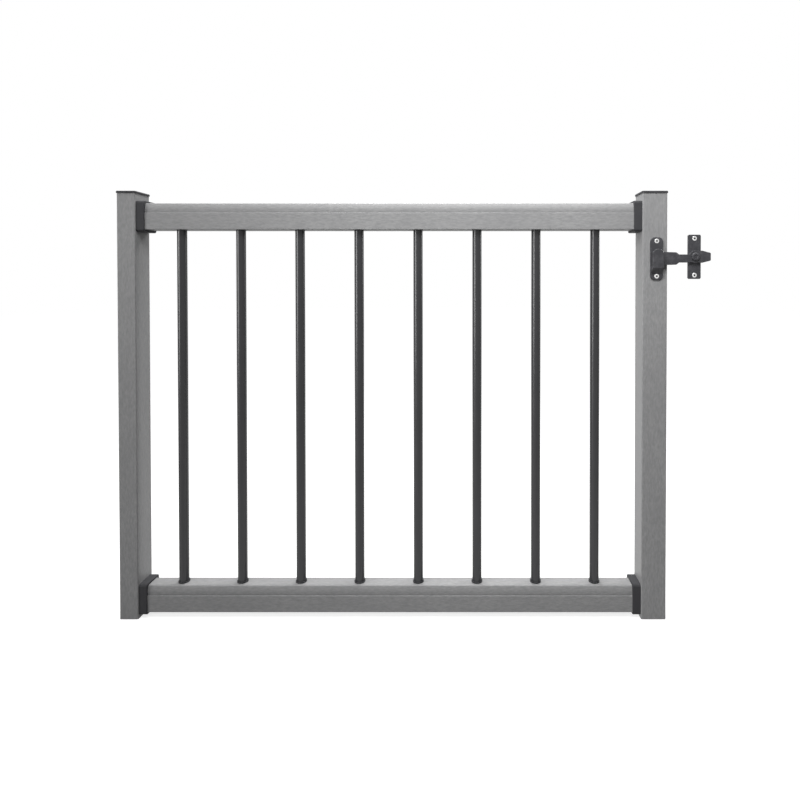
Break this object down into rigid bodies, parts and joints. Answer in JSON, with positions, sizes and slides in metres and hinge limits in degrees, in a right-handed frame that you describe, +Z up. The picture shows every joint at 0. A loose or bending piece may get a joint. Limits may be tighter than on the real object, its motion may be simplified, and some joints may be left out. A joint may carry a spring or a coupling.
{
  "type": "deck railing gate panel",
  "caption": "Deck railing gate panel: grey composite posts and moulded rails, round black balusters, black collar brackets and a lever latch with its keeper",
  "frame": {"origin": "on the hinge post's outer face, at mid-depth, level with the post's foot", "axes": "X from the hinge post to the latch post, Y from the latch's side to the back, Z up"},
  "size_m": [1.181, 0.0653, 0.859],
  "materials": {
    "grey_composite": "satin",
    "black_nylon": "matte",
    "black_tube": "satin",
    "black_latch": "satin"
  },
  "bodies": {
    "panel": {"hinge_post": "grey_composite", "latch_post": "grey_composite", "top_rail": "grey_composite", "bottom_rail": "grey_composite", "hinge_post_cap": "black_nylon", "hinge_post_plug": "black_nylon", "latch_post_cap": "black_nylon", "latch_post_plug": "black_nylon", "top_bracket_hinge_side": "black_nylon", "top_bracket_latch_side": "black_nylon", "bottom_bracket_hinge_side": "black_nylon", "bottom_bracket_latch_side": "black_nylon", "foot_ring_1": "black_nylon", "foot_ring_2": "black_nylon", "foot_ring_3": "black_nylon", "foot_ring_4": "black_nylon", "foot_ring_5": "black_nylon", "foot_ring_6": "black_nylon", "foot_ring_7": "black_nylon", "foot_ring_8": "black_nylon", "baluster_1": "black_tube", "baluster_2": "black_tube", "baluster_3": "black_tube", "baluster_4": "black_tube", "baluster_5": "black_tube", "baluster_6": "black_tube", "baluster_7": "black_tube", "baluster_8": "black_tube", "latch_base": "black_latch", "latch_pivot": "black_latch", "latch_keeper": "black_latch"},
    "latch_bar": {"latch_bar": "black_latch"}
  },
  "joints": [
    {"name": "latch_lift", "type": "hinge", "parent": "panel", "child": "latch_bar", "pos_m": [1.149, -0.0318, 0.7275], "axis": [0, 1, 0], "range_deg": [0, 30]}
  ]
}
